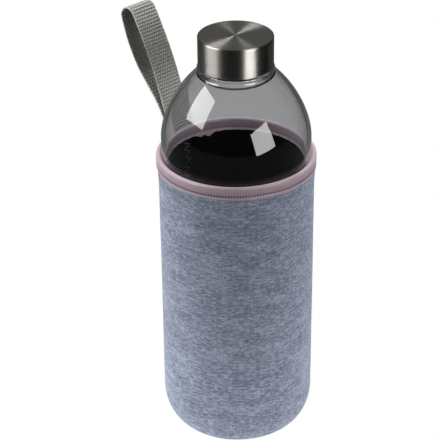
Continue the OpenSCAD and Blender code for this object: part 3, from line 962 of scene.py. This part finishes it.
# painted shade on the tape's side that faces the glass, above the groove
inner_side = spread(tree, radius_of, BINDING_INNER_R + 1.3, BINDING_INNER_R + 0.5)
shaded = times(tree, inner_side, spread(tree, up, GROOVE_Z, GROOVE_Z + 1.0))
colour = blend_colours(tree, times(tree, shaded, 0.55), colour, rgb(104, 88, 96))
tree.links.new(colour, shader.inputs["Base Color"])
tree.links.new(spread(tree, yarn.outputs["Light"], 0.3, 0.7, 0.38, 0.5), shader.inputs["Roughness"])
settle(shader, Specular_IOR_Level=0.45)
settle(shader, Sheen_Weight=0.3, Sheen_Roughness=0.35, Sheen_Tint=(*rgb(240, 222, 226), 1))
emboss(tree, shader, loops.outputs["Height"], 0.35, 0.00003)
finish_piece(satin_binding, "sleeve", satin, "binding", "top_binding")

# %% [markdown]
# ## Thread
# One stitch is a short bead of thread that dives into the cloth at both ends. It is made once from
# a cylinder, its ends extruded down and narrowed, and copied along each seam: round the binding
# outside and inside, in a zigzag up the back on both sides, round the base, and through the
# webbing's ends.

# %% One stitch
def stitch_pattern(length, radius):
    """A bead of thread along X, lying on Z = 0, with its ends turned down into the cloth."""
    deselect()
    lying = (0, math.pi / 2, 0)
    bpy.ops.mesh.primitive_cylinder_add(
        vertices=8, radius=radius * MM, depth=0.55 * length * MM, rotation=lying
    )
    bead = bpy.context.object
    bpy.ops.object.transform_apply(location=True, rotation=True, scale=True)
    bpy.ops.object.mode_set(mode="EDIT")
    bpy.ops.mesh.select_mode(type="FACE")
    for side in (1, -1):
        for reach, drop, width in ((0.14, 0.35, 0.8), (0.085, 0.75, 0.6)):
            bpy.ops.object.mode_set(mode="OBJECT")
            caps = [f for f in bead.data.polygons if len(f.vertices) == 8]
            end = max(caps, key=lambda face: side * face.center.x)
            for face in bead.data.polygons:
                face.select = face == end
            bpy.ops.object.mode_set(mode="EDIT")
            bpy.ops.mesh.extrude_region_move(
                TRANSFORM_OT_translate={"value": (side * reach * length * MM, 0, -drop * radius * MM)}
            )
            bpy.ops.transform.resize(value=(1, width, width))
    bpy.ops.object.mode_set(mode="OBJECT")
    bpy.ops.object.shade_smooth()
    return bead


def lay_on_round(turn, height, radius, slope=0.0, inwards=False):
    """The place for a bead on a round surface: its length level, or sloping by an angle."""
    out = Vector((math.cos(turn), math.sin(turn), 0)) * (-1 if inwards else 1)
    level = Vector((0, 0, 1)).cross(out)
    along = level * math.cos(slope) + Vector((0, 0, 1)) * math.sin(slope)
    axes = Matrix((along, out.cross(along), out)).transposed().to_4x4()
    place = Vector((radius * math.cos(turn), radius * math.sin(turn), height)) * MM
    return Matrix.Translation(place) @ axes


# %% Binding stitches
def binding_row(radius, inwards):
    """One row of beads in the binding's groove, each leaning a little."""
    turns = [2 * math.pi * (i + 0.5) / STITCHES for i in range(STITCHES)]
    return [lay_on_round(turn, GROOVE_Z, radius, 0.04, inwards) for turn in turns]


binding_places = binding_row(BINDING_R - 0.42, False) + binding_row(BINDING_INNER_R + 0.3, True)
binding_stitches = repeat(stitch_pattern(1.25, 0.18), binding_places, "binding_stitches")

# %% Zigzag and base seams
ZIG_W, ZIG_STEP = 2.8, 2.5
ZIG_LOW, ZIG_HIGH = 27.0, 172.5
LINING_R = SLEEVE_R - FACE_T - CORE_T - LINING_T


def zigzag(name, radius, inwards):
    """Beads that lean left and right in turn, up the side seam."""
    slope = math.atan2(ZIG_STEP, 2 * ZIG_W)
    beads = []
    for i in range(int((ZIG_HIGH - ZIG_LOW) / ZIG_STEP)):
        lean = slope if (i % 2) else math.pi - slope
        height = ZIG_LOW + (i + 0.5) * ZIG_STEP
        beads.append(lay_on_round(SEAM_TURN, height, radius, -lean if inwards else lean, inwards))
    return repeat(stitch_pattern(math.hypot(2 * ZIG_W, ZIG_STEP), 0.17), beads, name)


zigzag_outside = zigzag("zigzag_outside", SLEEVE_R - 0.05, False)
zigzag_inside = zigzag("zigzag_inside", LINING_R + 0.02, True)


def wrap_round(piece, radius):
    """Bends beads that reach across the seam, so that they hug the sleeve's curve."""
    places = corners_of(piece)
    side = places[:, 0]
    places[:, 1] += np.sqrt(np.maximum(radius**2 - side**2, 0)) - radius
    move_corners(piece, places)


for piece, radius in ((zigzag_outside, SLEEVE_R), (zigzag_inside, LINING_R)):
    wrap_round(piece, radius)
    push_out(piece, ripples)


def under(turn, radius, height, slope):
    """The place for a bead under the base, pointing down."""
    out = Vector((math.cos(turn), math.sin(turn), 0))
    level = Vector((0, 0, 1)).cross(out)
    along = level * math.cos(slope) + out * math.sin(slope)
    down = Vector((0, 0, -1))
    axes = Matrix((along, down.cross(along), down)).transposed().to_4x4()
    return Matrix.Translation(Vector((radius * out.x, radius * out.y, height)) * MM) @ axes


base_step, base_reach = 2 * math.pi * BASE_R / BASE_STITCHES, 1.6
base_slope = math.atan2(base_reach, base_step)
base_places = [
    under(2 * math.pi * (i + 0.5) / BASE_STITCHES, BASE_R, 0.42, base_slope * (1 if i % 2 else -1))
    for i in range(BASE_STITCHES)
]
base_stitches = repeat(stitch_pattern(math.hypot(base_reach, base_step), 0.18), base_places, "base_stitches")


# %% Thread material
def thread(name, dark, light):
    """Twisted thread: fine slanting plies, a little sheen and no plain colour."""
    material, tree, shader = new_material(name)
    plies = put(tree, "ShaderNodeTexWave", Scale=1600.0, Distortion=1.5, bands_direction="DIAGONAL")
    tree.links.new(object_spot(tree), plies.inputs["Vector"])
    tree.links.new(blend_colours(tree, plies.outputs["Fac"], dark, light), shader.inputs["Base Color"])
    settle(shader, Roughness=0.55, Sheen_Weight=0.25)
    emboss(tree, shader, plies.outputs["Fac"], 0.5, 0.00005)
    return material


pink_thread = thread("pink_thread", rgb(106, 86, 94), rgb(150, 128, 136))
dark_thread = thread("dark_thread", rgb(44, 46, 52), rgb(82, 84, 92))
grey_thread = thread("grey_thread", rgb(62, 64, 70), rgb(104, 106, 112))
finish_piece(binding_stitches, "sleeve", pink_thread, "binding_thread", "binding_thread")
finish_piece(zigzag_outside, "sleeve", dark_thread, "dark_thread", "side_seam_thread")
finish_piece(zigzag_inside, "sleeve", dark_thread, "dark_thread", "side_seam_thread")
finish_piece(base_stitches, "sleeve", grey_thread, "grey_thread", "base_seam_thread")

# %% [markdown]
# ## The carrying loop
# The loop is one band of polypropylene webbing. Both ends lie on each other on the outside of the
# sleeve, sewn through, and the free part stands up behind the bottle because webbing is stiff. Cloth
# simulation would flatten its weave, so it is modelled directly: a flat grid as wide as the webbing
# is laid along a smooth route, and a second pass lifts the weave's bumps out of it.

# %% Route of the webbing
WEB_W, WEB_T = 18.0, 1.1
BAND_W = WEB_W - 0.4  # between the middles of its two rounded edges
HINGE_Z, TAB_H, LAYER_GAP = 180.0, 22.0, 0.2
TAB_R = BINDING_R + 0.1
# Points (distance from the axis, height) up the inner leg, over the fold, down the outer
LOOP_POINTS = [
    (48.3, 187.0), (50.2, 192.5), (53.4, 202.0), (58.0, 214.0), (63.5, 226.0), (69.0, 236.5),
    (74.2, 245.6), (76.6, 248.3), (79.1, 248.9), (82.1, 248.0), (84.2, 244.7), (84.2, 242.4),
    (81.5, 233.7), (78.6, 226.5), (72.5, 215.6), (66.2, 207.6), (63.0, 204.0), (59.8, 200.4),
    (56.7, 196.5), (53.7, 192.0), (50.9, 186.6),
]


def tab_radius(height):
    """The webbing lies on the sleeve, and higher up on the binding."""
    share = float(eased((height - BINDING_LOW + 3.2) / 3))
    flare = FLARE * float(eased((height - FLARE_LOW) / (FLARE_HIGH - FLARE_LOW)))
    return (SLEEVE_R + flare + 0.2) * (1 - share) + TAB_R * share


def webbing_route():
    """Every point of the webbing's middle line, 0.4 mm apart."""
    heights = [HINGE_Z - TAB_H + i * 2.2 for i in range(11)]
    inner = [(tab_radius(z) + WEB_T / 2, z) for z in heights]
    outer = [(tab_radius(z) + 1.5 * WEB_T + LAYER_GAP, z) for z in heights]
    knots = np.array(inner + LOOP_POINTS + outer[::-1])
    line = []
    for i in range(len(knots) - 1):
        before, after = knots[max(i - 1, 0)], knots[min(i + 2, len(knots) - 1)]
        for t in np.linspace(0, 1, 12, endpoint=False):
            a, b = knots[i], knots[i + 1]
            line.append(
                0.5 * (2 * a + (b - before) * t + (2 * before - 5 * a + 4 * b - after) * t**2
                       + (3 * a - before - 3 * b + after) * t**3)
            )
    line.append(knots[-1])
    line = np.array(line)
    run = np.concatenate([[0], np.cumsum(np.linalg.norm(np.diff(line, axis=0), axis=1))])
    even = np.linspace(0, run[-1], int(run[-1] / 0.42))
    return np.column_stack([np.interp(even, run, line[:, k]) for k in (0, 1)]), even


route, run = webbing_route()
print("the webbing is", round(run[-1]), "mm long")

# %% Webbing
ACROSS = 74
YARN_W, ROW_H, CROWN = 0.92, 2.0, 0.2
RIBS_LOW, RIBS_GROW = 218.0, 16.0  # near the fold the painted light shows the rows as ribs, further down the crowns
INSIDE_LOW, INSIDE_GROW = 206.0, 9.0  # where the loop has opened enough to have an inside, which gets painted shade
LEG_MIDDLE, LEG_SPREAD, LEG_HIGH, LEG_FADE = 222.0, 13.0, 244.0, 5.0  # the inner leg's stretch of painted shade beside the bottle


def note(piece, name, values):
    """Keeps one number for each corner, for the material to read."""
    piece.data.attributes.new(name, "FLOAT", "POINT").data.foreach_set("value", values)


def lay_webbing():
    """A grid laid along the route, crimped by its weave, and then given its thickness."""
    deselect()
    bpy.ops.mesh.primitive_grid_add(x_subdivisions=ACROSS, y_subdivisions=len(route) - 1, size=1)
    band = bpy.context.object
    band.name = band.data.name = "webbing_loop"
    flat = np.empty(len(band.data.vertices) * 3)
    band.data.vertices.foreach_get("co", flat)
    share = flat.reshape(-1, 3) + 0.5
    across = (share[:, 0] - 0.5) * BAND_W
    index = np.rint(share[:, 1] * (len(route) - 1)).astype(int)
    heading = np.gradient(route, axis=0)
    heading /= np.linalg.norm(heading, axis=1)[:, None]
    normal = np.column_stack([-heading[:, 1], heading[:, 0]])
    weave = np.sin(math.pi * across / YARN_W) * np.sin(math.pi * run[index] / ROW_H)
    ridge = np.abs(np.sin(math.pi * run[index] / ROW_H)) - 0.5
    weave = 0.75 * np.sign(weave) * np.abs(weave) ** 0.7 + 0.45 * ridge
    edge = eased((np.abs(across) - WEB_W / 2 + 1.3) / 0.9)
    weave = weave * (1 - edge)
    spot = route[index] + normal[index] * (CROWN * weave)[:, None]
    on_tab = 1 - eased((route[index, 1] - HINGE_Z) / 10)
    curve = spot[:, 0] - np.sqrt(np.maximum(spot[:, 0] ** 2 - across**2, 1))
    move_corners(band, np.column_stack([across, spot[:, 0] - curve * on_tab, spot[:, 1]]))
    thick = band.modifiers.new("Thickness", "SOLIDIFY")
    thick.thickness, thick.offset, thick.use_even_offset = (WEB_T - 2 * CROWN) * MM, 0, False
    only(band)
    bpy.ops.object.modifier_apply(modifier=thick.name)
    bpy.ops.object.shade_smooth_by_angle(angle=math.radians(60))
    places = corners_of(band)
    height = route[index, 1]
    selvedge_highlight = eased((np.abs(across) - WEB_W / 2 + 1.0) / 0.5)
    ribbed = eased((height - RIBS_LOW) / RIBS_GROW)
    # the crown note is painted light: a highlight on raised yarn and on the edges, shade in the gaps
    face = (0.75 - 0.35 * ribbed) * weave + (1 + 0.4 * ribbed) * ridge * (1 - edge)
    note(band, "crown", np.concatenate([face + selvedge_highlight, 0.9 * ridge - weave + selvedge_highlight]))
    unbent = np.column_stack([places[:, 1] + np.tile(curve * on_tab, 2), places[:, 2]])
    from_middle = unbent - np.tile(route[index], (2, 1))
    faces_in = np.sum(from_middle * np.tile(normal[index], (2, 1)), axis=1) < 0
    # painted shade: the inside of the loop, and the inner leg beside the bottle
    loop_inside_shade = faces_in * eased((places[:, 2] - INSIDE_LOW) / INSIDE_GROW)
    inner_leg = (index < np.argmax(route[:, 1])) * eased((LEG_HIGH - height) / LEG_FADE)
    bottle_side_shade = inner_leg * (0.35 + 0.45 * np.exp(-(((height - LEG_MIDDLE) / LEG_SPREAD) ** 2)))
    note(band, "shade", np.maximum(loop_inside_shade, np.tile(bottle_side_shade, 2)))
    return band


webbing_loop = lay_webbing()

# %% [markdown]
# Where a yarn comes to the top it makes a crown, and each crown was noted while the weave was made.
# The material reads that note to paint highlights on the crowns and along the edges, and painted shade
# in the gaps. A second note, the shade, marks the inside of the loop and the leg that stands close to
# the bottle: the band hides these from the lights, and painted shade there keeps the two sides apart
# to the eye. The grid's own UV map, which follows the band over its fold, carries the fine filaments.

# %% Webbing material
webbing, tree, shader = new_material("webbing")
lengths = put(tree, "ShaderNodeUVMap")
parts = put(tree, "ShaderNodeSeparateXYZ")
tree.links.new(lengths.outputs["UV"], parts.inputs[0])
across = times(tree, sums(tree, "SUBTRACT", parts.outputs[0], 0.5), BAND_W)
along = times(tree, parts.outputs[1], float(run[-1]))
crown = put(tree, "ShaderNodeAttribute", attribute_name="crown")
yarn = use_group(tree, melange, Across=along, Up=across, Dash_Length=4.0, Dash_Height=0.25)
# painted highlights on the crowns and edges, painted shade in the gaps
height = spread(tree, crown.outputs["Fac"], -0.2, 1.35)
colour = blend_colours(tree, height, rgb(70, 70, 64), rgb(196, 196, 187))
bright_yarns = times(tree, spread(tree, yarn.outputs["Light"], 0.4, 0.75), 0.25)
colour = blend_colours(tree, bright_yarns, colour, rgb(196, 196, 186))
shade = put(tree, "ShaderNodeAttribute", attribute_name="shade")
# painted shade inside the loop and on the leg beside the bottle
colour = blend_colours(tree, times(tree, shade.outputs["Fac"], 0.85), colour, rgb(84, 82, 75))
tree.links.new(colour, shader.inputs["Base Color"])
tree.links.new(spread(tree, height, 0, 1, 0.6, 0.4), shader.inputs["Roughness"])
settle(shader, Specular_IOR_Level=0.5, Sheen_Weight=0.1)
emboss(tree, shader, yarn.outputs["Light"], 0.5, 0.00006)
webbing_loop.data.materials.append(webbing)
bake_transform(webbing_loop)
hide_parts("strap_ends", "strap_loop")

# %% [markdown]
# The ends are held by a box of stitches with a cross in it, which is how webbing is always sewn on.

# %% Box stitch
def box_stitch():
    """Places for the beads along a box and its two diagonals, on the outer layer."""
    half, low, high = WEB_W / 2 - 2.5, HINGE_Z - TAB_H + 3, HINGE_Z - 3.5
    corners = [(-half, low), (half, low), (half, high), (-half, high)]
    lines = [(corners[i], corners[(i + 1) % 4]) for i in range(4)]
    lines += [(corners[0], corners[2]), (corners[1], corners[3])]
    beads = []
    for (x0, z0), (x1, z1) in lines:
        count = round(math.hypot(x1 - x0, z1 - z0) / 2.6)
        for i in range(count):
            share = (i + 0.5) / count
            x, z = x0 + (x1 - x0) * share, z0 + (z1 - z0) * share
            radius = tab_radius(z) + 2 * WEB_T + LAYER_GAP + 0.08
            slope = math.atan2(z1 - z0, x0 - x1)
            beads.append(lay_on_round(SEAM_TURN - x / radius, z, radius, slope))
    return beads


box_beads = repeat(stitch_pattern(2.1, 0.26), box_stitch(), "box_beads")
finish_piece(box_beads, "sleeve", grey_thread, "grey_thread", "strap_thread")

# %% [markdown]
# ## The sleeve's girth
# The length round the sleeve is worked out, in metres.

# %% Soft pieces
girth = 2 * math.pi * SLEEVE_R * MM
